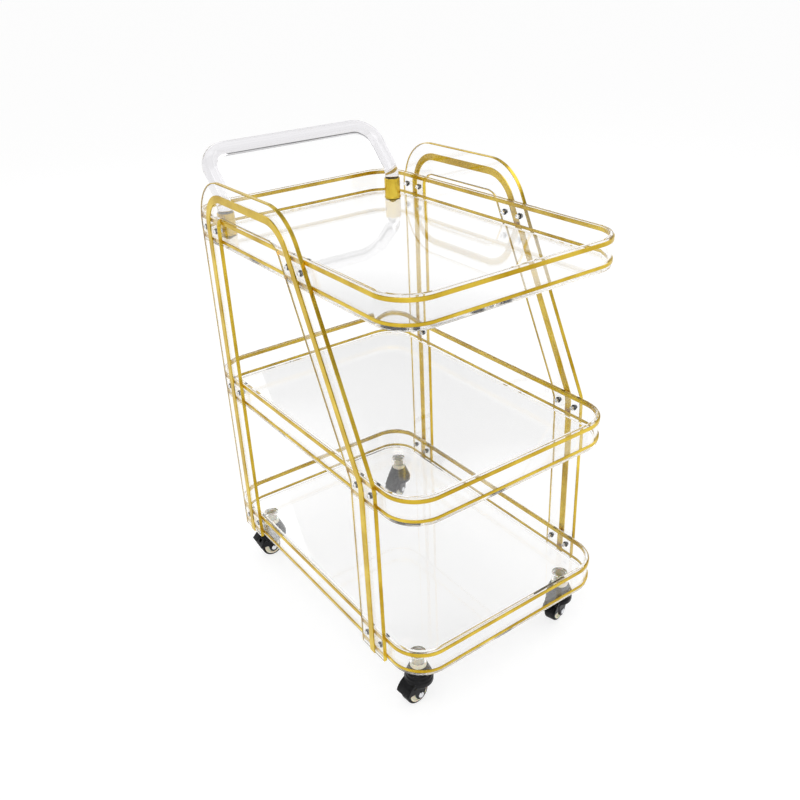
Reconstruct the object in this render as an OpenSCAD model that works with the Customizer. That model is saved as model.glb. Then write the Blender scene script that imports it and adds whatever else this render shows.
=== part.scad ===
// Bar cart: three clear trays hung between two clear side frames with gold strips, a clear push
// handle standing on the top tray, and four swivel casters under the bottom tray.
// Z = 0 is the floor and the origin is the middle of the footprint. The handle end is +Y.
// Every module works about the middle of the trays; placed() moves it to the cart's own origin.

/* [Trays] */
// Outer width of a tray wall, side to side
tray_w = 404; // [380:1:430]
// Outer length of a tray wall, front to rear
tray_d = 596; // [570:1:620]
// Height of a tray from the underside of its plate to its rim
tray_h = 48; // [46:1:54]
// Thickness of the floor plate
plate_t = 6; // [4:0.5:8]
// Thickness of the tray wall
wall_t = 5; // [4:0.5:6]
// Outer radius of the tray corners
tray_corner_r = 55; // [46:1:56]
// Underside of the bottom tray above the floor
bottom_tray_z = 92.5; // [90:0.5:100]
// Underside of the middle tray above the floor
middle_tray_z = 374; // [350:1:390]
// Underside of the top tray above the floor
top_tray_z = 667; // [640:1:680]

/* [Gold bands] */
// Height of the lower band
low_band_h = 5; // [4:0.5:8]
// Height of the upper band
high_band_h = 6.5; // [5:0.5:8]
// Thickness of a band
band_t = 2; // [1:0.5:3]
// Lower edge of the lower band above the tray's underside
low_band_z = 6.5; // [4:0.5:8]
// Lower edge of the upper band above the tray's underside
high_band_z = 38.5; // [34:0.5:39]

/* [Side frames] */
// Thickness of the clear sheet
sheet_t = 6; // [5:0.5:8]
// Half width of a leg, from the strip's centre line to an edge
leg_half_w = 29.5; // [26:0.5:32]
// Centre of the rear leg, behind the middle of the trays
rear_leg_y = 217; // [205:1:222]
// Centre of the front leg's upright part, ahead of the middle of the trays
front_leg_y = 197; // [185:1:205]
// Height at which the front leg starts to slant
kink_z = 407; // [398:1:412]
// Slant of the front leg from upright, in degrees
slant = 26.5; // [22:0.5:28]
// Height of the strip's centre line along the top bar
bar_z = 751; // [745:1:760]
// From that centre line up to the sheet's top edge
bar_above = 23; // [20:1:28]
// From that centre line down to the opening below the top bar
bar_below = 31; // [26:1:34]
// Height of the legs' lower ends
foot_z = 93; // [92:0.5:100]
// Width of the gold centre strip
strip_w = 12; // [8:0.5:14]
// Thickness of the gold centre strip
strip_t = 2; // [1:0.5:3]
// Thickness of the gold edging
trim_t = 1.2; // [0.8:0.1:2]

/* [Fixings] */
// From the strip's centre line to a screw, along the cart
screw_pitch_half = 18; // [14:0.5:20]
// Height of the screws above a tray's underside
screw_h = 25.5; // [24:0.5:28]
// Diameter of the screw shank
screw_d = 4; // [3:0.5:4.5]
// Diameter of the screw head
screw_head_d = 7; // [6:0.5:8]

/* [Handle] */
// Diameter of the clear rod
rod_d = 25; // [22:0.5:26]
// From the cart's middle plane to the rod's upright ends
rod_x = 167; // [160:1:170]
// From the middle of the trays back to the rod's upright ends
rod_y = 236; // [230:1:240]
// Height of a ferrule above the tray floor
ferrule_h = 36; // [33:1:40]
// Outer diameter of a ferrule
ferrule_d = 29; // [28:0.5:30]
// Rearward lean of the handle from upright, in degrees
lean = 44; // [36:1:48]
// Length of the leaning part from its lower bend to the bar's centre
lean_len = 100; // [90:1:105]
// Radius of the rod's corners beside the grip bar
rod_corner_r = 38; // [32:1:42]
// Radius of the rod's lower bends
rod_bend_r = 28; // [24:1:30]

/* [Casters] */
// From the cart's middle plane to a caster's stem
caster_x = 157; // [150:1:160]
// From the middle of the trays to a caster's stem, along the cart
caster_y = 245; // [238:1:248]
// Diameter of the clear boss under the plate
boss_d = 28; // [26:0.5:30]
// Height of the clear boss
boss_h = 13; // [11:0.5:14]
// Depth of the socket flange below the boss
flange_h = 10; // [9:0.5:11]
// Diameter of the wheel
wheel_d = 42; // [40:1:44]
// Width of the tyre
wheel_w = 20; // [18:0.5:20]
// From the stem's axis back to the axle
trail = 10; // [8:0.5:11]

/* [Hidden] */
$fn = 48;

sides = ["left", "right"];
side_sign = [-1, 1];
tiers = ["bottom", "middle", "top"];
tier_z = [bottom_tray_z, middle_tray_z, top_tray_z];
corners = ["front_left", "front_right", "rear_left", "rear_right"];
corner_x = [-caster_x, caster_x, -caster_x, caster_x];
corner_y = [-caster_y, -caster_y, caster_y, caster_y];
corner_turn = [5, 15, -4, 20];
braked = [1, 2, 3];

tray_parts = ["tray_base", "tray_wall", "lower_band", "upper_band"];
side_parts = ["side_panel", "centre_strip", "edge_trim"];
caster_parts = ["boss", "socket", "stem", "hood", "axle", "tyre", "hub"];

// Side frames stand on the bands, so the sheet's inner face is the bands' outer face
sheet_x = tray_w / 2 + band_t;
strip_path = [
    [rear_leg_y, foot_z],
    [rear_leg_y, bar_z],
    [-front_leg_y + (bar_z - kink_z) * tan(slant), bar_z],
    [-front_leg_y, kink_z],
    [-front_leg_y, foot_z]
];
outer_edge = [-leg_half_w, -bar_above, -leg_half_w, -leg_half_w];
inner_edge = [leg_half_w, bar_below, leg_half_w, leg_half_w];
outer_radii = [80, 84, 60];
strip_radii = [56, 62, 40];
inner_radii = [24, 32, 20];
arc_step = 4;

// Screws: height, leg and offset give each screw's place along the cart
screw_spots = [
    for (z = tier_z) for (front = [false, true]) for (s = [-1, 1])
        [leg_y(front, z + screw_h) + s * screw_pitch_half, z + screw_h]
];
head_h = 2.2;
nut_h = 3.2;
nut_d = 7.6;
washer_d = 10;
hole_clearance = 0.2;

// Handle
tray_floor = top_tray_z + plate_t;
ferrule_base = 5;
bolt_d = 8;
bolt_reach = 24;
handle_head_d = 16;
handle_head_h = 6;
handle_washer_d = 26;
handle_washer_h = 2;
rod_straight = 15;
rod_turn_z = tray_floor + ferrule_h + rod_straight;
rod_sides = 24;
bend_rings = 5;
corner_rings = 9;
rear_overhang = rod_y + lean_len * sin(lean) + rod_d / 2 - (tray_d / 2 + band_t);

// Casters
run = 0.05;
wheel_r = wheel_d / 2;
hub_r = 16.6;
plug_d = 20;
plug_h = boss_h - 2;
flange_d = boss_d - 1;
stem_d = 8;
stem_head_d = 14;
stem_head_h = 2.5;
neck_z = bottom_tray_z - boss_h - flange_h;
hood_top = neck_z - 0.6;
hood_low = 38;
hood_r = 24;
well_r = wheel_r + 2.5;
well_w = wheel_w + 2.4;
well_top = wheel_r + well_r;
guard_r = wheel_r + 6;
pocket_top = well_top + 6;
ear_x = [well_w / 2, 15.6];
axle_d = 6;
nut_cap_d = 10;
nut_cap_h = 3;

// Brake pedal: its pin sits over the guard, behind the stem
pedal_pin = [-28.6, 50.3];
pedal_pin_d = 3;
pedal_w = 15;
pedal_plate = 3;
pedal_top = [-23.5, 63];
pedal_toe = [-41.5, 43.5];
finger_w = 6;
finger_t = 3;
finger_len = 13;
finger_turn = 17;
ear_w = 3;

// --- placing ---

module placed() {
    translate([0, -rear_overhang / 2, 0])
        children();
}

// Turns a part made with X along the cart, Y upwards and Z outwards into its place on a side
module on_side(sign, x) {
    translate([sign * x, 0, 0])
        mirror([sign < 0 ? 1 : 0, 0, 0])
            rotate([90, 0, 90])
                children();
}

module at_caster(i) {
    translate([corner_x[i], corner_y[i], 0])
        rotate([0, 0, corner_turn[i]])
            children();
}

// Height above the floor of a point on the side frame sets how far the front leg has slanted
function leg_y(front, z) =
    front ? -front_leg_y + max(0, z - kink_z) * tan(slant) : rear_leg_y;

// --- outlines ---

function unit(v) = v / norm(v);
function left_normal(a, b) = let (u = unit(b - a)) [-u.y, u.x];

// Corner between two edges moved sideways by distances d0 and d1 along their normals
function moved_corner(p, n0, n1, d0, d1) =
    let (c = n0 * n1) p + (d0 * n0 + d1 * n1 - c * (d1 * n0 + d0 * n1)) / (1 - c * c);

// Round a left-hand corner with radius r
function round_corner(p, n0, n1, r) =
    let (
        turn = acos(n0 * n1),
        start = p - r * tan(turn / 2) * [n0.y, -n0.x],
        centre = start + r * n0,
        from = atan2(n0.y, n0.x),
        steps = ceil(turn / arc_step)
    )
    [for (i = [0:steps]) let (a = from + turn * i / steps) centre - r * [cos(a), sin(a)]];

// The strip's path moved sideways, one distance for each stretch, with its corners rounded
function edge_line(shift, radii) =
    let (
        p = strip_path,
        n = [for (i = [0:3]) left_normal(p[i], p[i + 1])]
    )
    concat(
        [p[0] + shift[0] * n[0]],
        [for (i = [1:3])
            each round_corner(moved_corner(p[i], n[i - 1], n[i], shift[i - 1], shift[i]),
                              n[i - 1], n[i], radii[i - 1])],
        [p[4] + shift[3] * n[3]]
    );

function reversed(list) = [for (i = [len(list) - 1:-1:0]) list[i]];

module between(line_a, line_b) {
    polygon(concat(line_a, reversed(line_b)));
}

module rounded_rectangle(w, d, r) {
    square([w - 2 * r, d], center = true);
    square([w, d - 2 * r], center = true);
    for (sx = [-1, 1])
        for (sy = [-1, 1])
            translate([sx * (w / 2 - r), sy * (d / 2 - r)])
                circle(r, $fn = 96);
}

// Ring that follows the tray's outline, from inset to outset away from the wall's outer face
module tray_ring(inset, outset) {
    difference() {
        rounded_rectangle(tray_w + 2 * outset, tray_d + 2 * outset, tray_corner_r + outset);
        rounded_rectangle(tray_w - 2 * inset, tray_d - 2 * inset, tray_corner_r - inset);
    }
}

// --- trays ---

module tray_base(tier) {
    color([0.93, 0.95, 0.96, 0.5])
        difference() {
            translate([0, 0, tier_z[tier]])
                linear_extrude(plate_t)
                    rounded_rectangle(tray_w - 2 * wall_t, tray_d - 2 * wall_t, tray_corner_r - wall_t);
            if (tier == 2)
                for (s = side_sign)
                    translate([s * rod_x, rod_y, tier_z[tier] - 1])
                        cylinder(d = bolt_d + hole_clearance, h = plate_t + 2);
        }
}

module tray_wall(tier) {
    color([0.93, 0.95, 0.96, 0.5])
        difference() {
            translate([0, 0, tier_z[tier]])
                linear_extrude(tray_h)
                    tray_ring(wall_t, 0);
            for (s = side_sign)
                for (i = [0:3])
                    on_side(s, tray_w / 2 - wall_t - 1)
                        translate(screw_spots[4 * tier + i])
                            cylinder(d = screw_d + hole_clearance, h = wall_t + 2);
        }
}

module band(tier, z, h) {
    color([0.83, 0.64, 0.22])
        translate([0, 0, tier_z[tier] + z])
            linear_extrude(h)
                tray_ring(0, band_t);
}

// --- side frames ---

module side_panel(sign) {
    color([0.93, 0.95, 0.96, 0.5])
        on_side(sign, sheet_x)
            difference() {
                linear_extrude(sheet_t)
                    between(edge_line(outer_edge, outer_radii), edge_line(inner_edge, inner_radii));
                for (spot = screw_spots)
                    translate([spot.x, spot.y, -1])
                        cylinder(d = screw_d + hole_clearance, h = sheet_t + 2);
            }
}

module centre_strip(sign) {
    half = strip_w / 2 * [1, 1, 1, 1];
    color([0.83, 0.64, 0.22])
        on_side(sign, sheet_x + sheet_t)
            linear_extrude(strip_t)
                between(edge_line(-half, strip_radii + strip_w / 2 * [1, 1, 1]),
                        edge_line(half, strip_radii - strip_w / 2 * [1, 1, 1]));
}

module edge_trim(sign) {
    skin = trim_t * [1, 1, 1, 1];
    skin_r = trim_t * [1, 1, 1];
    color([0.83, 0.64, 0.22])
        on_side(sign, sheet_x)
            linear_extrude(sheet_t) {
                between(edge_line(outer_edge - skin, outer_radii + skin_r),
                        edge_line(outer_edge, outer_radii));
                between(edge_line(inner_edge, inner_radii),
                        edge_line(inner_edge + skin, inner_radii - skin_r));
            }
}

// --- fixings ---

// Each place of a frame screw, with Z outwards and Z = 0 on the tray wall's inner face
module at_each_screw() {
    for (s = side_sign)
        for (spot = screw_spots)
            on_side(s, tray_w / 2 - wall_t)
                translate(spot)
                    children();
}

module domed_head(d, h) {
    dome_r = (d * d / 4 + h * h) / (2 * h);
    intersection() {
        cylinder(d = d, h = h);
        translate([0, 0, h - dome_r])
            sphere(dome_r);
    }
}

module frame_screws() {
    reach = wall_t + band_t + sheet_t;
    slot_w = 0.9;
    slot_len = 3.6;
    slot_depth = 1.2;
    color([0.85, 0.86, 0.88])
        at_each_screw() {
            translate([0, 0, -nut_h + 1])
                cylinder(d = screw_d, h = reach + nut_h - 1);
            translate([0, 0, reach])
                difference() {
                    domed_head(screw_head_d, head_h);
                    for (a = [45, 135])
                        rotate([0, 0, a])
                            translate([0, 0, head_h])
                                cube([slot_len, slot_w, 2 * slot_depth], center = true);
                }
        }
}

module frame_nuts() {
    color([0.85, 0.86, 0.88])
        at_each_screw()
            translate([0, 0, -nut_h])
                difference() {
                    cylinder(d = nut_d, h = nut_h, $fn = 6);
                    translate([0, 0, 1])
                        cylinder(d = screw_d, h = nut_h);
                }
}

module spacer_washers() {
    color([0.93, 0.95, 0.96, 0.5])
        at_each_screw()
            translate([0, 0, wall_t])
                difference() {
                    cylinder(d = washer_d, h = band_t);
                    translate([0, 0, -1])
                        cylinder(d = screw_d + hole_clearance, h = band_t + 2);
                }
}

// --- handle ---

// Rings of the rod's surface from the left foot over the grip bar to the right foot. Each entry of
// the path is a centre with the two directions that span its cross-section.
function tilted(a) = [0, sin(a), cos(a)];
function tilted_normal(a) = [0, cos(a), -sin(a)];

function lower_bend(side) =
    let (
        reach = rod_bend_r * tan(lean / 2),
        foot = [side * rod_x, rod_y, tray_floor + ferrule_base],
        arc_foot = [side * rod_x, rod_y, rod_turn_z - reach]
    )
    concat(
        [[foot, [-side, 0, 0], [0, 1, 0]]],
        [for (a = [0:lean / bend_rings:lean])
            [arc_foot + rod_bend_r * [0, 1 - cos(a), sin(a)], [-side, 0, 0], tilted_normal(a)]]
    );

function upper_corner(side) =
    let (
        up = tilted(lean),
        centre = [side * (rod_x - rod_corner_r), rod_y, rod_turn_z] + (lean_len - rod_corner_r) * up
    )
    [for (b = [0:90 / corner_rings:90])
        [
            centre + rod_corner_r * (side * cos(b) * [1, 0, 0] + sin(b) * up),
            -side * cos(b) * [1, 0, 0] - sin(b) * up,
            tilted_normal(lean)
        ]];

module handle_rod() {
    half = concat(lower_bend(-1), upper_corner(-1));
    other = concat(lower_bend(1), upper_corner(1));
    // The second half runs back down, and its rings turn the same way round as the first half's
    path = concat(half, [for (ring = reversed(other)) [ring[0], ring[1], ring[2]]]);
    points = [
        for (ring = path) for (k = [0:rod_sides - 1])
            let (a = 360 * k / rod_sides)
                ring[0] + rod_d / 2 * (cos(a) * ring[1] + sin(a) * ring[2])
    ];
    last = len(path) - 1;
    faces = concat(
        [[for (k = [0:rod_sides - 1]) k]],
        [for (i = [0:last - 1]) for (k = [0:rod_sides - 1])
            let (next = (k + 1) % rod_sides, a = i * rod_sides, b = (i + 1) * rod_sides)
                [a + k, b + k, b + next, a + next]],
        [[for (k = [rod_sides - 1:-1:0]) last * rod_sides + k]]
    );
    color([0.93, 0.95, 0.96, 0.5])
        difference() {
            polyhedron(points, faces);
            for (s = side_sign)
                translate([s * rod_x, rod_y, tray_floor])
                    cylinder(d = bolt_d + hole_clearance, h = ferrule_base + bolt_reach);
        }
}

module ferrule(sign) {
    rim = 0.8;
    color([0.83, 0.64, 0.22])
        translate([sign * rod_x, rod_y, tray_floor])
            difference() {
                union() {
                    cylinder(d = ferrule_d, h = ferrule_h);
                    cylinder(d = ferrule_d + 2 * rim, h = 2);
                }
                translate([0, 0, ferrule_base])
                    cylinder(d = rod_d, h = ferrule_h);
                translate([0, 0, -1])
                    cylinder(d = bolt_d + hole_clearance, h = ferrule_base + 2);
            }
}

module handle_bolts() {
    seat = top_tray_z - handle_washer_h;
    color([0.2, 0.2, 0.21])
        for (s = side_sign)
            translate([s * rod_x, rod_y, seat]) {
                cylinder(d = bolt_d, h = tray_floor + ferrule_base + bolt_reach - seat);
                mirror([0, 0, 1])
                    domed_head(handle_head_d, handle_head_h);
            }
}

module handle_washers() {
    color([0.08, 0.08, 0.08])
        for (s = side_sign)
            translate([s * rod_x, rod_y, top_tray_z - handle_washer_h])
                difference() {
                    cylinder(d = handle_washer_d, h = handle_washer_h);
                    translate([0, 0, -1])
                        cylinder(d = bolt_d + hole_clearance, h = handle_washer_h + 2);
                }
}

// --- casters, about the stem's axis with the wheel behind it towards -X ---

module boss() {
    color([0.9, 0.92, 0.93, 0.5])
        translate([0, 0, bottom_tray_z - boss_h])
            difference() {
                cylinder(d = boss_d, h = boss_h);
                translate([0, 0, -1])
                    cylinder(d = plug_d, h = plug_h + 1);
            }
}

module socket() {
    color([0.93, 0.9, 0.78])
        difference() {
            union() {
                translate([0, 0, neck_z])
                    cylinder(d = flange_d, h = flange_h);
                translate([0, 0, neck_z + flange_h])
                    cylinder(d = plug_d, h = plug_h);
            }
            translate([0, 0, neck_z - 1])
                cylinder(d = stem_d, h = flange_h + plug_h - 1);
        }
}

module stem() {
    head_z = pocket_top - stem_head_h - run;
    color([0.75, 0.76, 0.78])
        union() {
            translate([0, 0, head_z])
                cylinder(d = stem_head_d, h = stem_head_h);
            translate([0, 0, head_z])
                cylinder(d = stem_d, h = neck_z + flange_h + plug_h - 2 - head_z);
        }
}

// Wheel-shaped solid about the axle
module about_axle(r, w) {
    translate([-trail, 0, wheel_r])
        rotate([90, 0, 0])
            cylinder(r = r, h = w, center = true, $fn = 96);
}

// Stepped bell with three ridges
function bell_profile() =
    let (
        steps = 4,
        top_r = 15,
        rise = (hood_top - 47) / steps
    )
    concat(
        [[0, hood_low], [hood_r - 1, hood_low], [hood_r, hood_low + 2], [hood_r, 47]],
        [for (i = [0:steps - 1])
            each [
                [hood_r - (hood_r - top_r) * (i + 0.55) / steps, 47 + rise * (i + 0.35)],
                [hood_r - (hood_r - top_r) * (i + 0.75) / steps, 47 + rise * (i + 1)]
            ]],
        [[0, hood_top]]
    );

// Guard that follows the wheel over its rear half
module guard() {
    intersection() {
        about_axle(guard_r, well_w + 6);
        translate([-trail - guard_r - 1, -well_w, wheel_r + 6])
            cube([guard_r + 4, 2 * well_w, guard_r]);
    }
}

module fork_leg() {
    foot_r = 9;
    rotate([90, 0, 0])
        linear_extrude(ear_x[1] - ear_x[0]) {
            polygon([
                [-trail - 13, hood_low + 1],
                [-trail - foot_r, wheel_r],
                [-trail + foot_r, wheel_r],
                [-trail + 16, hood_low + 1]
            ]);
            translate([-trail, wheel_r])
                circle(foot_r);
        }
}

module pedal_ears() {
    for (s = [-1, 1])
        translate([0, s * (pedal_w / 2 + 0.3 + ear_w / 2) + ear_w / 2, 0])
            rotate([90, 0, 0])
                linear_extrude(ear_w) {
                    translate(pedal_pin)
                        circle(4);
                    polygon([
                        pedal_pin + [-4, 0], pedal_pin + [-1, -9], pedal_pin + [8, -9],
                        pedal_pin + [10, 4], pedal_pin + [0, 4]
                    ]);
                }
}

module hood(has_pedal) {
    window = finger_w + 2;
    color([0.09, 0.09, 0.1])
        difference() {
            union() {
                rotate_extrude($fn = 96)
                    polygon(bell_profile());
                guard();
                translate([0, -ear_x[0], 0])
                    fork_leg();
                translate([0, ear_x[1], 0])
                    fork_leg();
                if (has_pedal)
                    pedal_ears();
            }
            about_axle(well_r, well_w);
            translate([0, 0, hood_low])
                cylinder(d = stem_d + 2 * run, h = hood_top);
            translate([0, 0, hood_low])
                cylinder(d = stem_head_d + 1, h = pocket_top - hood_low);
            about_axle(axle_d / 2, 2 * hood_r);
            if (has_pedal) {
                translate([pedal_pin.x, 0, pedal_pin.y])
                    rotate([90, 0, 0])
                        cylinder(d = pedal_pin_d + 2 * run, h = 2 * pedal_w, center = true);
                translate([pedal_pin.x, 0, pedal_pin.y])
                    rotate([90, 0, 0])
                        cylinder(r = 4.4, h = pedal_w + 0.6, center = true);
                translate([-34, -window / 2, 34])
                    cube([16, window, 12]);
            }
        }
}

module axle() {
    color([0.85, 0.86, 0.88])
        translate([-trail, 0, wheel_r]) {
            rotate([90, 0, 0])
                cylinder(d = axle_d, h = 2 * ear_x[1], center = true);
            for (s = [-1, 1])
                translate([0, s * ear_x[1], 0])
                    rotate([-90 * s, 0, 0])
                        domed_head(nut_cap_d, nut_cap_h);
        }
}

module tyre() {
    shoulder = 3;
    color([0.06, 0.06, 0.06])
        translate([-trail, 0, wheel_r])
            rotate([90, 0, 0])
                rotate_extrude($fn = 96)
                    difference() {
                        union() {
                            translate([0, -wheel_w / 2 + shoulder])
                                square([wheel_r, wheel_w - 2 * shoulder]);
                            translate([0, -wheel_w / 2])
                                square([wheel_r - shoulder, wheel_w]);
                            for (s = [-1, 1])
                                translate([wheel_r - shoulder, s * (wheel_w / 2 - shoulder)])
                                    circle(shoulder);
                        }
                        translate([-1, -wheel_w])
                            square([hub_r + 1, 2 * wheel_w]);
                    }
}

module hub() {
    rim_w = wheel_w + 1;
    dish = 2;
    color([0.93, 0.9, 0.76])
        translate([-trail, 0, wheel_r])
            rotate([90, 0, 0])
                difference() {
                    cylinder(r = hub_r, h = rim_w, center = true, $fn = 96);
                    for (s = [-1, 1])
                        translate([0, 0, s * rim_w / 2])
                            difference() {
                                cylinder(r = hub_r - 2.6, h = 2 * dish, center = true);
                                cylinder(r = axle_d / 2 + 2.5, h = 3 * dish, center = true);
                            }
                    cylinder(d = axle_d + 2 * run, h = 2 * rim_w, center = true);
                }
}

module brake_pedal() {
    down = pedal_toe - pedal_top;
    tilt = atan2(down.y, down.x);
    to_axle = [-trail, wheel_r] - pedal_pin;
    finger_a = atan2(to_axle.y, to_axle.x) - finger_turn;
    color([0.1, 0.1, 0.11])
        union() {
            translate([0, pedal_w / 2, 0])
                rotate([90, 0, 0])
                    linear_extrude(pedal_w) {
                        translate(pedal_top)
                            rotate(tilt)
                                translate([0, -pedal_plate])
                                    square([norm(down), pedal_plate]);
                        translate(pedal_pin)
                            circle(3.6);
                        translate(pedal_pin)
                            rotate(tilt)
                                translate([-3, -5.5])
                                    square([6, 5.5]);
                    }
            translate([0, finger_w / 2, 0])
                rotate([90, 0, 0])
                    linear_extrude(finger_w)
                        translate(pedal_pin)
                            rotate(finger_a)
                                translate([0, -finger_t / 2])
                                    square([finger_len, finger_t]);
            translate([pedal_pin.x, 0, pedal_pin.y])
                rotate([90, 0, 0])
                    cylinder(d = pedal_pin_d, h = pedal_w + 2 * ear_w + 0.6, center = true);
        }
}

// --- drawing ---

for (t = [0:2]) {
    placed() tray_base(t);
    placed() tray_wall(t);
    placed() band(t, low_band_z, low_band_h);
    placed() band(t, high_band_z, high_band_h);
}
for (s = [0, 1]) {
    placed() side_panel(side_sign[s]);
    placed() centre_strip(side_sign[s]);
    placed() edge_trim(side_sign[s]);
    placed() ferrule(side_sign[s]);
}
placed() frame_screws();
placed() frame_nuts();
placed() spacer_washers();
placed() handle_rod();
placed() handle_bolts();
placed() handle_washers();
for (c = [0:3]) {
    placed() at_caster(c) boss();
    placed() at_caster(c) socket();
    placed() at_caster(c) stem();
    placed() at_caster(c) hood(c > 0);
    placed() at_caster(c) axle();
    placed() at_caster(c) tyre();
    placed() at_caster(c) hub();
}
for (c = braked)
    placed() at_caster(c) brake_pedal();
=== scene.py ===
"""Bar cart: the looks of a clear three-tray cart with gold strips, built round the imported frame.

Lengths are in metres. Each sub-assembly is a class: its fields are its sizes and its methods build and
dress its pieces. Places come from the frame's own boxes, so every piece lies where the frame has it.
"""

import logging
import math
from dataclasses import dataclass, field
from enum import Enum
from typing import Iterable, Sequence

import bmesh
import bpy
from mathutils import Matrix, Vector


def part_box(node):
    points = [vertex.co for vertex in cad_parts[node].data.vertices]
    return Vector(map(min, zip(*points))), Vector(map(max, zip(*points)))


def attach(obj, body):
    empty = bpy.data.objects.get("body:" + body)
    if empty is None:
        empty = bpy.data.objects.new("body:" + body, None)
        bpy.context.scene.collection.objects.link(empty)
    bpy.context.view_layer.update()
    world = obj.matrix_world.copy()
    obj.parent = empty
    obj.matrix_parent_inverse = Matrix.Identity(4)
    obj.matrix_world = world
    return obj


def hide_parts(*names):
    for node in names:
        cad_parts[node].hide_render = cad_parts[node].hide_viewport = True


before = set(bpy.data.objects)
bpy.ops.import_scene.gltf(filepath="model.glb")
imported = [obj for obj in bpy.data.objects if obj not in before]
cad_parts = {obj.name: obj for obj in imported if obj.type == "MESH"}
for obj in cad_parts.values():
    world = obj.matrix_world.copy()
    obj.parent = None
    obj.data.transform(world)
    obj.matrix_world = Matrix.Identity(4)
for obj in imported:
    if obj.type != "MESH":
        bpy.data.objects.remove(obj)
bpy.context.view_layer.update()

log = logging.getLogger("bar_cart")
MM = 0.001
Pair = tuple[float, float]
Colour = tuple[float, float, float]
Layer = tuple[list[Vector], list[Vector], float]


class Side(Enum):
    """The two sides of the cart, with the sign of X on each."""

    LEFT = -1
    RIGHT = 1

    @property
    def label(self) -> str:
        """Name as it stands in node names."""
        return self.name.lower()


class Tier(Enum):
    """The three trays, from the floor up."""

    BOTTOM = "bottom"
    MIDDLE = "middle"
    TOP = "top"


class Corner(Enum):
    """The four caster places, with the way each caster happens to stand, in degrees."""

    FRONT_LEFT = ("front_left", 5.0)
    FRONT_RIGHT = ("front_right", 15.0)
    REAR_LEFT = ("rear_left", -4.0)
    REAR_RIGHT = ("rear_right", 20.0)

    @property
    def label(self) -> str:
        """Name as it stands in node names."""
        return self.value[0]

    @property
    def turn(self) -> float:
        """Turn of the caster about its stem, in radians."""
        return math.radians(self.value[1])


# --- finishes ---


class NodeBench:
    """A material's node tree, with short calls for the nodes that the finishes use."""

    def __init__(self, name: str) -> None:
        """Start a new material with one shader and its output."""
        self.material = bpy.data.materials.new(name)
        self.material.use_nodes = True
        self.tree = self.material.node_tree
        self.tree.nodes.clear()
        self.shader = self.add("ShaderNodeBsdfPrincipled")
        out = self.add("ShaderNodeOutputMaterial")
        self.link(self.shader.outputs["BSDF"], out.inputs["Surface"])
        self.place = self.add("ShaderNodeTexCoord").outputs["Object"]

    def add(self, kind: str) -> bpy.types.Node:
        """Add one node of a kind."""
        return self.tree.nodes.new(kind)

    def link(self, source: bpy.types.NodeSocket, target: bpy.types.NodeSocket) -> None:
        """Join two sockets."""
        self.tree.links.new(source, target)

    def set(self, **values: object) -> None:
        """Set the shader's own sockets, with underscores for spaces in their names."""
        for key, value in values.items():
            self.shader.inputs[key.replace("_", " ")].default_value = value

    def stretched(self, scale: Sequence[float]) -> bpy.types.NodeSocket:
        """Object coordinates scaled along each axis."""
        mapping = self.add("ShaderNodeMapping")
        mapping.inputs["Scale"].default_value = scale
        self.link(self.place, mapping.inputs["Vector"])
        return mapping.outputs["Vector"]

    def noise(self, scale: Sequence[float], detail: float) -> bpy.types.NodeSocket:
        """A noise pattern whose scale is given for each axis, in repeats per metre."""
        node = self.add("ShaderNodeTexNoise")
        node.inputs["Scale"].default_value = 1.0
        node.inputs["Detail"].default_value = detail
        node.inputs["Roughness"].default_value = 0.55
        self.link(self.stretched(scale), node.inputs["Vector"])
        return node.outputs["Fac"]

    def span(self, source: bpy.types.NodeSocket, low: float, high: float) -> bpy.types.NodeSocket:
        """Spread a pattern's middle range over low to high."""
        node = self.add("ShaderNodeMapRange")
        node.inputs["From Min"].default_value = 0.3
        node.inputs["From Max"].default_value = 0.7
        node.inputs["To Min"].default_value = low
        node.inputs["To Max"].default_value = high
        self.link(source, node.inputs["Value"])
        return node.outputs["Result"]

    def blend(self, source: bpy.types.NodeSocket, low: Colour, high: Colour) -> bpy.types.NodeSocket:
        """Colour that runs from low to high with a pattern."""
        node = self.add("ShaderNodeMix")
        node.data_type = "RGBA"
        node.inputs["A"].default_value = (*low, 1.0)
        node.inputs["B"].default_value = (*high, 1.0)
        self.link(self.span(source, 0.0, 1.0), node.inputs["Factor"])
        return node.outputs["Result"]

    def bump(self, source: bpy.types.NodeSocket, depth: float, strength: float) -> None:
        """Raise the surface by a pattern, to a depth in metres."""
        node = self.add("ShaderNodeBump")
        node.inputs["Distance"].default_value = depth
        node.inputs["Strength"].default_value = strength
        self.link(source, node.inputs["Height"])
        self.link(node.outputs["Normal"], self.shader.inputs["Normal"])


@dataclass(frozen=True)
class Finish:
    """A finish that makes its material once and dresses pieces with it.

    Attributes:
        slot: The record's material slot that the finish answers to; not used.
        name: Name of the material.
    """

    slot: str
    name: str

    def make(self) -> bpy.types.Material:
        """Build the material; each finish has its own."""
        raise NotImplementedError

    def material(self) -> bpy.types.Material:
        """The finish's material, made the first time it is asked for."""
        return bpy.data.materials.get(self.name) or self.make()

    def dress(self, piece: bpy.types.Object) -> bpy.types.Object:
        """Put the finish on a piece.

        Args:
            piece: A new mesh object.

        Returns:
            The same piece.
        """
        piece.data.materials.clear()
        piece.data.materials.append(self.material())
        return piece


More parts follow.
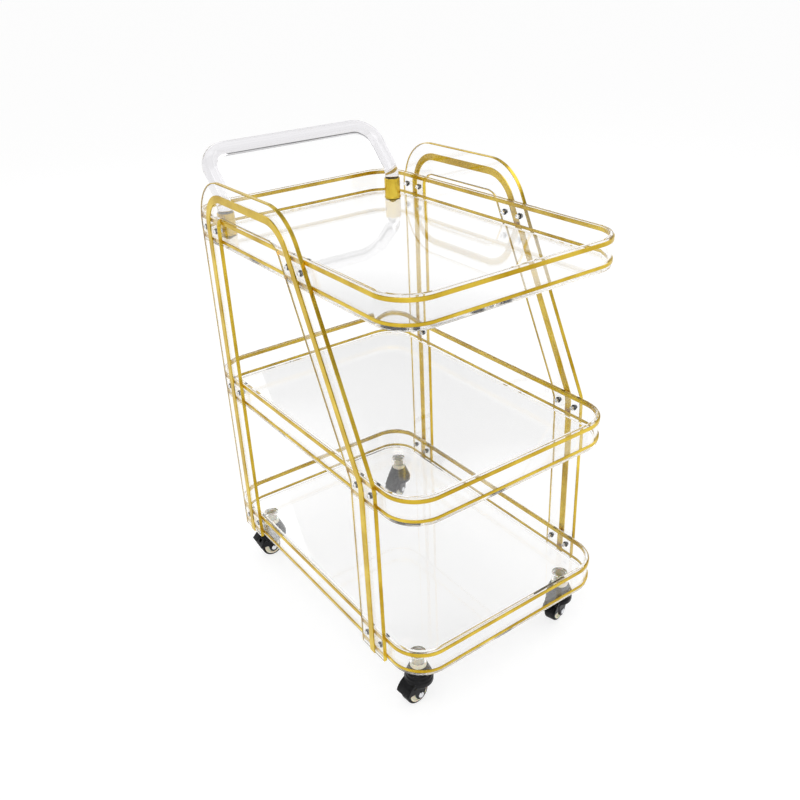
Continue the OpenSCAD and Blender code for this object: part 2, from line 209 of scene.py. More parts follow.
@dataclass(frozen=True)
class ClearAcrylic(Finish):
    """Polished clear acrylic with a faint polishing ripple and fine wear, and a body colour that can grey
    it as painted shade.
    """

    tint: Colour = (1.0, 1.0, 1.0)
    ripple: float = 0.00002

    def make(self) -> bpy.types.Material:
        """Clear body, greyed by any painted shade in its body colour, small ripple and a gloss that varies
        a little.
        """
        bench = NodeBench(self.name)
        wipe = bench.noise((60, 60, 60), detail=6)
        # A grey body colour here is painted shade, not a dye in the acrylic
        bench.set(Transmission_Weight=1.0, IOR=1.49, Base_Color=(*self.tint, 1.0))
        bench.link(bench.span(wipe, 0.0, 0.03), bench.shader.inputs["Roughness"])
        bench.bump(bench.noise((9, 9, 9), detail=1), self.ripple, 0.3)
        return bench.material


@dataclass(frozen=True)
class GoldPlate(Finish):
    """Satin gold plating with lengthwise polishing marks and slight toning."""

    light: Colour = (0.80, 0.59, 0.08)
    deep: Colour = (0.44, 0.27, 0.008)
    grain: tuple[float, float, float] = (900, 900, 1400)
    gloss: Pair = (0.16, 0.3)

    def make(self) -> bpy.types.Material:
        """Metal with toned colour, streaked roughness and fine grain."""
        bench = NodeBench(self.name)
        bench.set(Metallic=1.0)
        toning = bench.noise((14, 14, 14), detail=5)
        marks = bench.noise(self.grain, detail=2)
        bench.link(bench.blend(toning, self.deep, self.light), bench.shader.inputs["Base Color"])
        bench.link(bench.span(marks, *self.gloss), bench.shader.inputs["Roughness"])
        bench.bump(marks, 0.00001, 0.5)
        return bench.material


@dataclass(frozen=True)
class BareMetal(Finish):
    """Plated or turned steel: chrome, turned steel or black oxide."""

    colour: Colour = (0.8, 0.81, 0.83)
    shade: Colour = (0.7, 0.71, 0.73)
    gloss: Pair = (0.06, 0.16)

    def make(self) -> bpy.types.Material:
        """Metal with cloudy gloss and fine turning marks."""
        bench = NodeBench(self.name)
        bench.set(Metallic=1.0)
        cloud = bench.noise((160, 160, 160), detail=3)
        bench.link(bench.blend(cloud, self.shade, self.colour), bench.shader.inputs["Base Color"])
        bench.link(bench.span(cloud, *self.gloss), bench.shader.inputs["Roughness"])
        bench.bump(bench.noise((400, 400, 3000), detail=2), 0.00001, 0.4)
        return bench.material


@dataclass(frozen=True)
class Moulding(Finish):
    """Moulded plastic or rubber with a fine spark-eroded grain."""

    colour: Colour = (0.004, 0.004, 0.005)
    worn: Colour = (0.012, 0.012, 0.013)
    gloss: Pair = (0.12, 0.24)
    grain: float = 2500.0
    depth: float = 0.00001
    inner_glow: float = 0.0
    shine: float = 0.15

    def make(self) -> bpy.types.Material:
        """Plastic with cloudy colour, grain and a varied gloss."""
        bench = NodeBench(self.name)
        bench.set(Subsurface_Weight=self.inner_glow, Subsurface_Scale=0.002, Specular_IOR_Level=self.shine)
        cloud = bench.noise((70, 70, 70), detail=5)
        grain = bench.noise((self.grain,) * 3, detail=2)
        bench.link(bench.blend(cloud, self.colour, self.worn), bench.shader.inputs["Base Color"])
        bench.link(bench.span(cloud, *self.gloss), bench.shader.inputs["Roughness"])
        bench.bump(grain, self.depth, 0.6)
        return bench.material


SHEET = ClearAcrylic("clear_acrylic", "clear_sheet_acrylic")
# The rod's grey body colour is painted shade, standing in for the grey that refraction gives the clear rod
ROD = ClearAcrylic("clear_rod", "clear_rod_acrylic", tint=(0.84, 0.83, 0.85), ripple=0.00005)
GOLD = GoldPlate("gold", "satin_gold_strip")
FERRULE_GOLD = GoldPlate("gold", "turned_gold", grain=(150, 150, 4000), gloss=(0.14, 0.26))
CHROME = BareMetal("chrome", "screw_chrome", gloss=(0.16, 0.3))
STEEL = BareMetal("steel", "turned_steel", colour=(0.62, 0.63, 0.65), shade=(0.5, 0.5, 0.52),
                  gloss=(0.2, 0.35))
OXIDE = BareMetal("dark_steel", "black_oxide_steel", colour=(0.12, 0.12, 0.13),
                  shade=(0.06, 0.06, 0.065), gloss=(0.25, 0.4))
BLACK = Moulding("black_plastic", "black_moulding")
RUBBER = Moulding("black_tyre", "black_rubber", colour=(0.005, 0.005, 0.005), worn=(0.012, 0.012, 0.012),
                  gloss=(0.4, 0.6), grain=1600.0)
NYLON = Moulding("cream_nylon", "cream_nylon_moulding", colour=(0.82, 0.76, 0.56), worn=(0.88, 0.84, 0.68),
                 gloss=(0.28, 0.4), inner_glow=0.25, shine=0.5)


# --- mesh making ---


class Form:
    """A mesh in the making: points and faces added by lathe, loft and sweep."""

    def __init__(self) -> None:
        """Start with nothing."""
        self.points: list[Vector] = []
        self.faces: list[tuple[int, ...]] = []

    def rings(self, rings: Sequence[Sequence[Vector]], wrap: bool = False, caps: bool = True) -> "Form":
        """Join closed rings of equal length, one to the next.

        Args:
            rings: Lists of points.
            wrap: Whether the last ring joins the first.
            caps: Whether the first and the last ring are filled.

        Returns:
            The form itself.
        """
        start, n = len(self.points), len(rings[0])
        for ring in rings:
            self.points.extend(Vector(p) for p in ring)
        pairs = [(i, i + 1) for i in range(len(rings) - 1)] + ([(len(rings) - 1, 0)] if wrap else [])
        for a, b in pairs:
            here, there = start + a * n, start + b * n
            for k in range(n):
                after = (k + 1) % n
                self.faces.append((here + k, here + after, there + after, there + k))
        if caps and not wrap:
            last = start + (len(rings) - 1) * n
            self.faces.append(tuple(range(start + n - 1, start - 1, -1)))
            self.faces.append(tuple(range(last, last + n)))
        return self

    def lathe(self, outline: Sequence[Pair], steps: int = 64, place: Matrix | None = None) -> "Form":
        """Turn an outline of (radius, height) points about Z.

        Args:
            outline: Points from one end of the axis to the other.
            steps: Segments round the axis.
            place: Where the turned shape goes.

        Returns:
            The form itself.
        """
        at = place or Matrix.Identity(4)
        turned = [
            [at @ Vector((r * math.cos(a), r * math.sin(a), z))
             for a in (2 * math.pi * k / steps for k in range(steps))]
            for r, z in outline
        ]
        wrap = outline[0][0] > 0 and outline[-1][0] > 0
        return self.rings(turned, wrap=wrap, caps=False)

    def piece(self, name: str, crease: float = 35.0) -> bpy.types.Object:
        """Make the object.

        Args:
            name: The piece's name.
            crease: Angle in degrees above which an edge stays sharp.

        Returns:
            The new mesh object, in the scene.
        """
        mesh = bpy.data.meshes.new(name)
        mesh.from_pydata(self.points, [], self.faces)
        obj = bpy.data.objects.new(name, mesh)
        bpy.context.scene.collection.objects.link(obj)
        bm = bmesh.new()
        bm.from_mesh(mesh)
        bmesh.ops.remove_doubles(bm, verts=bm.verts, dist=1e-7)
        bmesh.ops.dissolve_degenerate(bm, edges=bm.edges, dist=1e-8)
        bmesh.ops.recalc_face_normals(bm, faces=bm.faces)
        bm.to_mesh(mesh)
        bm.free()
        soften(obj, crease)
        return even_normals(obj)


def even_normals(obj: bpy.types.Object) -> bpy.types.Object:
    """Let the large faces rule the shading, so flat ones look flat beside their rounded edges."""
    weighted = obj.modifiers.new("weighted", "WEIGHTED_NORMAL")
    weighted.keep_sharp, weighted.weight = True, 100
    return apply_modifiers(obj)


def soften(obj: bpy.types.Object, crease: float) -> None:
    """Shade a piece smooth, apart from edges above the crease angle in degrees."""
    obj.data.polygons.foreach_set("use_smooth", [True] * len(obj.data.polygons))
    obj.data.set_sharp_from_angle(angle=math.radians(crease))
    obj.data.update()


def apply_modifiers(obj: bpy.types.Object) -> bpy.types.Object:
    """Fix a piece's modifiers into its mesh."""
    bpy.context.view_layer.update()
    graph = bpy.context.evaluated_depsgraph_get()
    made = bpy.data.meshes.new_from_object(obj.evaluated_get(graph))
    obj.modifiers.clear()
    obj.data = made
    return obj


def moulded_copy(node: str, name: str, voxel: float, passes: int = 6) -> bpy.types.Object:
    """A moulded version of a frame node: the same shape with softly rounded edges.

    Args:
        node: The frame node to follow.
        name: The new piece's name.
        voxel: Size of the remesh, in metres.
        passes: How many smoothing passes round the edges.

    Returns:
        The new piece.
    """
    obj = bpy.data.objects.new(name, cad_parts[node].data.copy())
    bpy.context.scene.collection.objects.link(obj)
    remesh = obj.modifiers.new("remesh", "REMESH")
    remesh.mode, remesh.voxel_size = "VOXEL", voxel
    smooth = obj.modifiers.new("smooth", "SMOOTH")
    smooth.factor, smooth.iterations = 0.5, passes
    apply_modifiers(obj)
    soften(obj, 180.0)
    return obj


def rounded_box_outline(low: Pair, high: Pair, edge: float, steps: int = 3) -> list[Pair]:
    """Outline of a rectangle with small rounded corners, anticlockwise.

    Args:
        low: Lowest corner.
        high: Highest corner.
        edge: Radius of the corners.
        steps: Segments in a corner.

    Returns:
        The outline's points.
    """
    corners = (((high[0], high[1]), 0), ((low[0], high[1]), 90),
               ((low[0], low[1]), 180), ((high[0], low[1]), 270))
    outline: list[Pair] = []
    for (x, y), start in corners:
        cx = x - edge if x == high[0] else x + edge
        cy = y - edge if y == high[1] else y + edge
        for i in range(steps + 1):
            a = math.radians(start + 90 * i / steps)
            outline.append((cx + edge * math.cos(a), cy + edge * math.sin(a)))
    return outline


# --- trays ---


@dataclass
class Tray:
    """One tray: floor plate, rim wall and two gold bands.

    Attributes:
        tier: Which tray it is.
        thick: Thickness of the wall.
        corner: Outer radius of the wall's corners.
        band_corner: Rounding of a band's edges.
        edge: Rounding of the acrylic's polished edges.
        bond: How deep a bonded strip is set into the acrylic's face.
        gap: Space left between pieces that only touch.
    """

    tier: Tier
    thick: float = 5 * MM
    corner: float = 55 * MM
    band_corner: float = 0.7 * MM
    edge: float = 0.7 * MM
    bond: float = 0.1 * MM
    gap: float = 0.04 * MM
    corner_steps: int = 28
    low: Vector = field(init=False)
    high: Vector = field(init=False)

    def __post_init__(self) -> None:
        """Take the wall's box from the frame."""
        self.low, self.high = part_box(f"{self.tier.value}_tray_wall")

    def loop(self, offset: float, z: float) -> list[Vector]:
        """The wall's outline moved outwards by offset, at height z."""
        centre = (self.low + self.high) / 2
        half = (self.high - self.low) / 2
        points = []
        for sx, sy, start in ((1, 1, 0), (-1, 1, 90), (-1, -1, 180), (1, -1, 270)):
            for i in range(self.corner_steps + 1):
                a = math.radians(start + 90 * i / self.corner_steps)
                reach = self.corner + offset
                points.append(Vector((
                    centre.x + sx * (half.x - self.corner) + reach * math.cos(a),
                    centre.y + sy * (half.y - self.corner) + reach * math.sin(a),
                    z,
                )))
        return points

    def hoop(self, name: str, low: Pair, high: Pair, edge: float) -> bpy.types.Object:
        """A closed hoop round the tray.

        Args:
            name: The piece's name.
            low: Inner offset and lower height of its section.
            high: Outer offset and upper height of its section.
            edge: Rounding of the section's corners.

        Returns:
            The hoop.
        """
        section = rounded_box_outline(low, high, edge)
        return Form().rings([self.loop(o, z) for o, z in section], wrap=True).piece(name)

    def base(self) -> bpy.types.Object:
        """The floor plate with polished edges."""
        low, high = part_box(f"{self.tier.value}_tray_base")
        rim = high.x - self.high.x - self.gap
        ease = 0.3 * self.edge
        steps = ((rim - ease, low.z), (rim, low.z + ease), (rim, high.z - ease), (rim - ease, high.z))
        return Form().rings([self.loop(o, z) for o, z in steps]).piece(f"{self.tier.value}_floor_plate")

    def wall(self) -> bpy.types.Object:
        """The rim wall."""
        name = f"{self.tier.value}_rim_wall"
        return self.hoop(name, (-self.thick, self.low.z), (0, self.high.z), self.edge)

    def band(self, which: str) -> bpy.types.Object:
        """A gold band, bonded to the wall's face."""
        low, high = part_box(f"{self.tier.value}_{which}_band")
        reach = high.x - self.high.x - self.gap
        return self.hoop(f"{self.tier.value}_{which}_gold_band", (-self.bond, low.z), (reach, high.z),
                         self.band_corner)

    def build(self) -> None:
        """Build the tray's pieces and fix them to the chassis."""
        t = self.tier.value
        for piece, finish, node in (
            (self.base(), SHEET, f"{t}_tray_base"),
            (self.wall(), SHEET, f"{t}_tray_wall"),
            (self.band("lower"), GOLD, f"{t}_lower_band"),
            (self.band("upper"), GOLD, f"{t}_upper_band"),
        ):
            settle(finish.dress(piece), "chassis", node)


def settle(piece: bpy.types.Object, body: str, *nodes: str) -> None:
    """Fix a finished piece to its body in place of frame nodes, and log it."""
    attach(piece, body)
    if nodes:
        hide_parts(*nodes)
    log.info("%s on %s", piece.name, body)


# --- side frames ---


@dataclass
class SideFrame:
    """One side: the clear sheet, its gold centre strip and its gold edging.

    The strip's path runs up the rear leg, along the top bar and down the slanting front leg.
    Stretches are numbered in that order, and offsets are positive towards the opening.
    """

    side: Side
    half_leg: float = 29.5 * MM
    above: float = 23 * MM
    below: float = 31 * MM
    slant: float = 26.5
    kink: float = 407 * MM
    strip_half: float = 6 * MM
    edge: float = 0.5 * MM
    bond: float = 0.12 * MM
    strip_ease: float = 0.5 * MM
    skin: float = 1.15 * MM
    skin_ease: float = 0.35 * MM
    arc_step: float = 3.0
    outer_radii: tuple[float, float, float] = (80 * MM, 84 * MM, 60 * MM)
    strip_radii: tuple[float, float, float] = (56 * MM, 62 * MM, 40 * MM)
    inner_radii: tuple[float, float, float] = (24 * MM, 32 * MM, 20 * MM)

    def __post_init__(self) -> None:
        """Work out the strip's path from the sheet's box in the frame."""
        low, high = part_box(f"{self.side.label}_side_panel")
        self.inner_x, self.outer_x = sorted((low.x, high.x), key=abs)
        self.foot = low.z
        rear, front, bar = high.y - self.half_leg, low.y + self.half_leg, high.z - self.above
        top_front = front + (bar - self.kink) * math.tan(math.radians(self.slant))
        turns = ((rear, self.foot), (rear, bar), (top_front, bar), (front, self.kink), (front, self.foot))
        self.path = [Vector(turn) for turn in turns]
        runs = [(b - a).normalized() for a, b in zip(self.path, self.path[1:])]
        self.normals = [Vector((-r.y, r.x)) for r in runs]

    def shifted(self, offsets: Sequence[float], radii: Sequence[float], lift: float = 0.0) -> list[Vector]:
        """The path moved sideways, with its corners rounded.

        Args:
            offsets: Sideways distance of each stretch.
            radii: Radius of each corner.
            lift: How far the two ends are drawn up from the feet.

        Returns:
            Points in the side frame's own plane, as (y, z).
        """
        n, p = self.normals, self.path
        line = [p[0] + offsets[0] * n[0] + Vector((0, lift))]
        for i in (1, 2, 3):
            a, b, d0, d1 = n[i - 1], n[i], offsets[i - 1], offsets[i]
            c = a.dot(b)
            corner = p[i] + (d0 * a + d1 * b - c * (d1 * a + d0 * b)) / (1 - c * c)
            turn = math.acos(c)
            along = Vector((a.y, -a.x))
            centre = corner - radii[i - 1] * math.tan(turn / 2) * along + radii[i - 1] * a
            begin = math.atan2(a.y, a.x)
            steps = math.ceil(math.degrees(turn) / self.arc_step)
            for k in range(steps + 1):
                angle = begin + turn * k / steps
                line.append(centre - radii[i - 1] * Vector((math.cos(angle), math.sin(angle))))
        line.append(p[4] + offsets[3] * n[3] + Vector((0, lift)))
        return line

    def outer(self, inset: float) -> list[Vector]:
        """The sheet's outer edge, drawn in by inset."""
        leg = -self.half_leg + inset
        offsets = [leg, -self.above + inset, leg, leg]
        return self.shifted(offsets, [r - inset for r in self.outer_radii], max(inset, 0.0))

    def inner(self, inset: float) -> list[Vector]:
        """The sheet's inner edge, drawn in by inset."""
        leg = self.half_leg - inset
        offsets = [leg, self.below - inset, leg, leg]
        return self.shifted(offsets, [r + inset for r in self.inner_radii], max(inset, 0.0))

    def slab(self, name: str, layers: Iterable[Layer]) -> bpy.types.Object:
        """A flat bar between two lines, as layers from one face to the other.

        Args:
            name: The piece's name.
            layers: For each layer its two lines and its X.

        Returns:
            The bar.
        """
        form = Form()
        rows = list(layers)
        outlines = [[Vector((x, p.x, p.y)) for p in a + b[::-1]] for a, b, x in rows]
        form.rings(outlines, caps=False)
        count = len(rows[0][0])
        for layer, flip in ((0, False), (len(rows) - 1, True)):
            base = layer * 2 * count
            for k in range(count - 1):
                face = (base + k, base + k + 1, base + 2 * count - 2 - k, base + 2 * count - 1 - k)
                form.faces.append(face[::-1] if flip else face)
        return form.piece(name, crease=25.0)

    def outwards(self, depth: float) -> float:
        """X at a depth from the sheet's inner face."""
        return self.inner_x + self.side.value * depth

    def sheet(self) -> bpy.types.Object:
        """The clear sheet with small polished edges."""
        thick = abs(self.outer_x - self.inner_x)
        steps = ((self.edge, 0.0), (0.0, self.edge), (0.0, thick - self.edge), (self.edge, thick))
        return self.slab(f"{self.side.label}_clear_sheet", (
            (self.outer(inset), self.inner(inset), self.outwards(depth)) for inset, depth in steps
        ))

    def strip(self) -> bpy.types.Object:
        """The gold strip on the outside face, with eased edges."""
        thick = abs(self.outer_x - self.inner_x)
        low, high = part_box(f"{self.side.label}_centre_strip")
        rise, ease = high.x - low.x, self.strip_ease
        steps = ((0.0, -self.bond), (0.0, rise - ease), (0.3 * ease, rise - 0.3 * ease), (ease, rise))
        layers = []
        for inset, depth in steps:
            half = self.strip_half - inset
            line_a = self.shifted([-half] * 4, [r + half for r in self.strip_radii], inset)
            line_b = self.shifted([half] * 4, [r - half for r in self.strip_radii], inset)
            layers.append((line_a, line_b, self.outwards(thick + depth)))
        return self.slab(f"{self.side.label}_gold_strip", layers)

    def edging(self) -> bpy.types.Object:
        """The gold edging on the sheet's outer and inner edges, as one piece of two runs."""
        thick = abs(self.outer_x - self.inner_x)
        ease = self.skin_ease
        steps = ((ease, 0.0), (0.0, ease), (0.0, thick - ease), (ease, thick))
        runs = []
        for line in (self.outer, self.inner):
            runs.append(self.slab(f"{self.side.label}_edging_run", (
                (line(-self.skin + cut), line(self.bond), self.outwards(depth)) for cut, depth in steps
            )))
        return joined(runs, f"{self.side.label}_gold_edging")

    def build(self) -> None:
        """Build the side's pieces and fix them to the chassis."""
        name = self.side.label
        settle(SHEET.dress(self.sheet()), "chassis", f"{name}_side_panel")
        settle(GOLD.dress(self.strip()), "chassis", f"{name}_centre_strip")
        settle(GOLD.dress(self.edging()), "chassis", f"{name}_edge_trim")


def joined(parts: Sequence[bpy.types.Object], name: str) -> bpy.types.Object:
    """Join meshes into one piece.

    Args:
        parts: The objects to join, which are used up.
        name: The piece's name.

    Returns:
        The joined piece.
    """
    bm = bmesh.new()
    for part in parts:
        part.data.transform(part.matrix_world)
        bm.from_mesh(part.data)
    mesh = bpy.data.meshes.new(name)
    bm.to_mesh(mesh)
    bm.free()
    for part in parts:
        bpy.data.objects.remove(part)
    obj = bpy.data.objects.new(name, mesh)
    bpy.context.scene.collection.objects.link(obj)
    return obj


# --- fixings ---


def across_side(side: Side, x: float, y: float, z: float) -> Matrix:
    """Place on a side of the cart, with Z pointing outwards and X towards the front.

    Args:
        side: Which side.
        x: Distance from the cart's middle plane.
        y: Place along the cart.
        z: Height.

    Returns:
        The place.
    """
    outward = Vector((side.value, 0, 0))
    forward = Vector((0, -1, 0))
    turn = Matrix((forward, outward.cross(forward), outward)).transposed().to_4x4()
    return Matrix.Translation((side.value * x, y, z)) @ turn


@dataclass
class FrameFixings:
    """The screws that hold the side sheets to the trays, with their nuts and clear spacers."""

    pitch_half: float = 18 * MM
    height: float = 25.5 * MM
    shank: float = 2 * MM
    head: float = 3.5 * MM
    head_rise: float = 2.2 * MM
    nut: float = 3.8 * MM
    nut_rise: float = 3.2 * MM
    spacer: float = 5 * MM

    def spots(self) -> list[tuple[Side, float, float]]:
        """Side, place along the cart and height of each screw."""
        found = []
        for side in Side:
            frame_side = SideFrame(side)
            rear, _, top_front, kink, foot = frame_side.path
            for tier in Tier:
                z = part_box(f"{tier.value}_tray_base")[0].z + self.height
                rise = max(0.0, z - kink.y) / (top_front.y - kink.y)
                front = foot.x + rise * (top_front.x - kink.x)
                for leg in (rear.x, front):
                    found += [(side, leg - self.pitch_half, z), (side, leg + self.pitch_half, z)]
        return found

    def scattered(self, name: str, x: float, outline: Sequence[Pair], steps: int) -> bpy.types.Object:
        """The same turned shape at every screw.

        Args:
            name: The piece's name.
            x: Distance from the middle plane to the shape's zero height.
            outline: Its (radius, height) outline.
            steps: Segments round it.

        Returns:
            One piece with all of them.
        """
        form = Form()
        for side, y, z in self.spots():
            form.lathe(outline, steps, across_side(side, x, y, z))
        return form.piece(name, crease=40.0)

    def build(self) -> None:
        """Build screws, nuts and spacers."""
        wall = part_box("top_tray_wall")[1].x
        inner = wall - Tray.thick
        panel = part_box("right_side_panel")
        face, spacer = panel[1].x - inner, panel[0].x - wall
        r, h, s = self.head, self.head_rise, self.shank
        dome = [(r * math.cos(a), face + 0.2 * MM + (h - 0.2 * MM) * math.sin(a))
                for a in (math.radians(d) for d in (0, 18, 36, 52, 66))]
        screw = [(0, -self.nut_rise + 1 * MM), (s, -self.nut_rise + 1 * MM), (s, face), (r, face), *dome,
                 (1.3 * MM, face + h - 0.1 * MM), (1.15 * MM, face + 1.1 * MM), (0, face + 0.9 * MM)]
        settle(CHROME.dress(self.scattered("side_screws", inner, screw, 24)), "chassis", "frame_screws")
        ease = 0.6 * MM
        nut = [(s, 0), (self.nut, 0), (self.nut, ease - self.nut_rise), (self.nut - ease, -self.nut_rise),
               (s, -self.nut_rise)]
        settle(CHROME.dress(self.scattered("side_nuts", inner, nut, 6)), "chassis", "frame_nuts")
        bore, rim, ease = s + 0.1 * MM, self.spacer, 0.2 * MM
        ring = [(bore, 0), (rim - ease, 0), (rim, ease), (rim, spacer - ease), (rim - ease, spacer),
                (bore, spacer)]
        settle(SHEET.dress(self.scattered("side_spacers", wall, ring, 32)), "chassis", "spacer_washers")


# --- push handle ---


@dataclass
class PushHandle:
    """The clear bent rod in its two gold ferrules, bolted through the top tray."""

    radius: float = 12.5 * MM
    lean: float = 44.0
    reach: float = 100 * MM
    corner: float = 38 * MM
    bend: float = 28 * MM
    ferrule_base: float = 5 * MM
    turn_above: float = 15 * MM
    bolt: float = 4 * MM
    bolt_hole: float = 4.1 * MM
    bolt_head: float = 8 * MM
    washer: float = 13 * MM
    round_steps: int = 48
    bend_steps: int = 16
    corner_steps: int = 28

    def __post_init__(self) -> None:
        """Take the feet from the ferrules' boxes."""
        low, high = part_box("right_ferrule")
        self.foot = Vector(((low.x + high.x) / 2, (low.y + high.y) / 2, low.z))
        self.cup = (high.x - low.x) / 2
        self.cup_rise = high.z - low.z

    def half(self, side: float) -> list[tuple[Vector, Vector, Vector]]:
        """Rings of one half from its foot to the bar: centre and the two directions across the rod."""
        lean = math.radians(self.lean)
        up = Vector((0, math.sin(lean), math.cos(lean)))
        turn_z = self.foot.z + self.cup_rise + self.turn_above
        inward = Vector((-side, 0, 0))
        start = Vector((side * self.foot.x, self.foot.y, self.foot.z + self.ferrule_base + 0.1 * MM))
        rings = [(start, inward, Vector((0, 1, 0)))]
        arc = Vector((start.x, start.y, turn_z - self.bend * math.tan(lean / 2)))
        for i in range(self.bend_steps + 1):
            a = lean * i / self.bend_steps
            at = arc + self.bend * Vector((0, 1 - math.cos(a), math.sin(a)))
            rings.append((at, inward, Vector((0, math.cos(a), -math.sin(a)))))
        centre = Vector((side * (self.foot.x - self.corner), start.y, turn_z))
        centre += (self.reach - self.corner) * up
        for i in range(self.corner_steps + 1):
            b = math.radians(90 * i / self.corner_steps)
            out = Vector((side * math.cos(b), 0, 0)) + math.sin(b) * up
            rings.append((centre + self.corner * out, -out, Vector((0, math.cos(lean), -math.sin(lean)))))
        return rings

    def rod(self) -> bpy.types.Object:
        """The clear rod, swept along its path."""
        rings = self.half(-1) + self.half(1)[::-1]
        angles = [2 * math.pi * k / self.round_steps for k in range(self.round_steps)]
        loops = [[at + self.radius * (math.cos(a) * u + math.sin(a) * v) for a in angles]
                 for at, u, v in rings]
        return Form().rings(loops).piece("clear_handle_rod")

    def ferrule(self, side: Side) -> bpy.types.Object:
        """A turned ferrule with a foot bead, a fine groove and an eased lip."""
        r, h, bore = self.cup, self.cup_rise, self.radius + 0.05 * MM
        body = r - 0.8 * MM
        outline = [(self.bolt_hole, 0), (r - 0.3 * MM, 0), (r, 0.4 * MM), (r, 1.6 * MM),
                   (r - 0.3 * MM, 2 * MM),
                   (body - 0.5 * MM, 2.1 * MM), (body - 0.5 * MM, 2.8 * MM), (body, 3 * MM),
                   (body, h - 0.8 * MM), (body - 0.25 * MM, h - 0.25 * MM), (body - 0.8 * MM, h),
                   (bore + 0.3 * MM, h), (bore, h - 0.3 * MM), (bore, self.ferrule_base),
                   (self.bolt_hole, self.ferrule_base)]
        place = Matrix.Translation((side.value * self.foot.x, self.foot.y, self.foot.z))
        return Form().lathe(outline, 96, place).piece(f"{side.label}_gold_ferrule")

    def under_tray(self) -> None:
        """The bolts and their black washers below the top tray."""
        low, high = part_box("handle_bolts")
        washer_low, washer_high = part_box("handle_washers")
        head, length = washer_low.z - low.z, high.z - washer_low.z
        ease, socket = 0.4 * MM, 2 * MM - head
        dome = [(self.bolt_head * math.sin(a), -head * math.cos(a))
                for a in (math.radians(d) for d in range(30, 91, 12))]
        bolt_outline = [(0, socket), (2.2 * MM, socket), (2.4 * MM, 0.1 * MM - head), *dome,
                        (self.bolt_head, 0), (self.bolt, 0), (self.bolt, length - ease),
                        (self.bolt - ease, length), (0, length)]
        r, t = self.washer, washer_high.z - washer_low.z
        washer_outline = [(self.bolt_hole, 0), (r - ease, 0), (r, ease), (r, t), (self.bolt_hole, t)]
        bolt, washer = Form(), Form()
        for side in Side:
            place = Matrix.Translation((side.value * self.foot.x, self.foot.y, washer_low.z))
            bolt.lathe(bolt_outline, 48, place)
            washer.lathe(washer_outline, 64, place)
        settle(OXIDE.dress(bolt.piece("ferrule_bolts")), "chassis", "handle_bolts")
        settle(BLACK.dress(washer.piece("ferrule_washers")), "chassis", "handle_washers")

    def build(self) -> None:
        """Build rod, ferrules, bolts and washers."""
        settle(ROD.dress(self.rod()), "chassis", "handle_rod")
        for side in Side:
            settle(FERRULE_GOLD.dress(self.ferrule(side)), "chassis", f"{side.label}_ferrule")
        self.under_tray()


# --- casters ---


